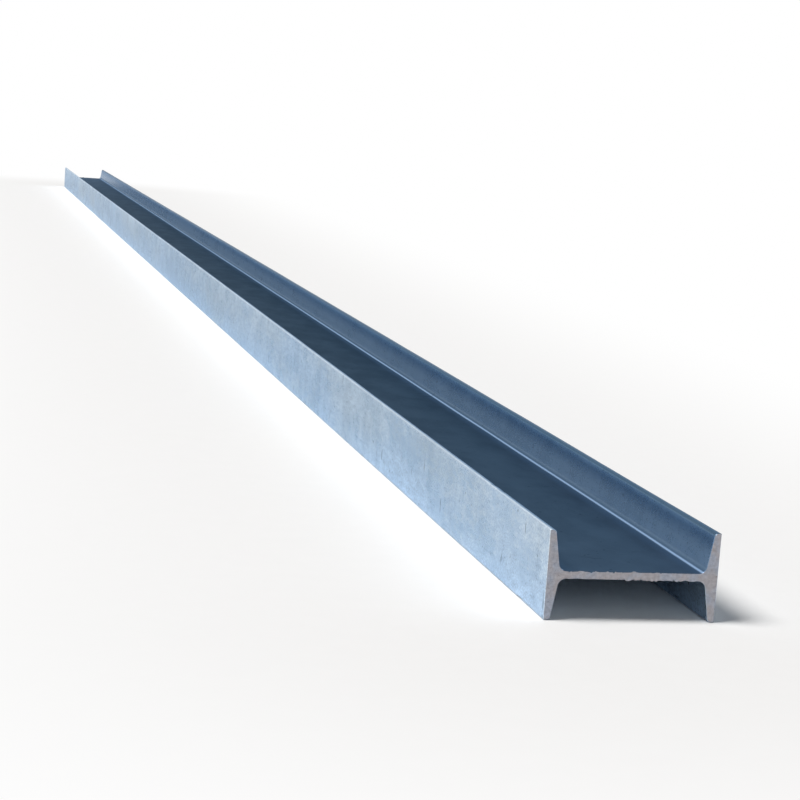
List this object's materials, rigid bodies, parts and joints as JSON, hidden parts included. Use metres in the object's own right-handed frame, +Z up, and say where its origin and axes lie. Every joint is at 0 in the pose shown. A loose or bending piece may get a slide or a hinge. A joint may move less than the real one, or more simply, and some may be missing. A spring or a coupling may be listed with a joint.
{
  "type": "steel i-beam",
  "caption": "Hot-rolled galvanised steel I-beam with tapered flanges, lying on its flange toes, cut square at both ends.",
  "frame": {"origin": "middle of the beam's length and of its section's depth, on the surface that the flange toes rest on", "axes": "+X across the section from one flange to the other, +Y along the length, +Z up through the level web"},
  "size_m": [0.2, 9, 0.102],
  "materials": {
    "galvanised_steel": "hot-dip galvanised rolled steel, dull silver grey with faint drip streaks, bare saw-cut ends"
  },
  "bodies": {
    "root": {"i_beam": "galvanised_steel"}
  },
  "joints": []
}
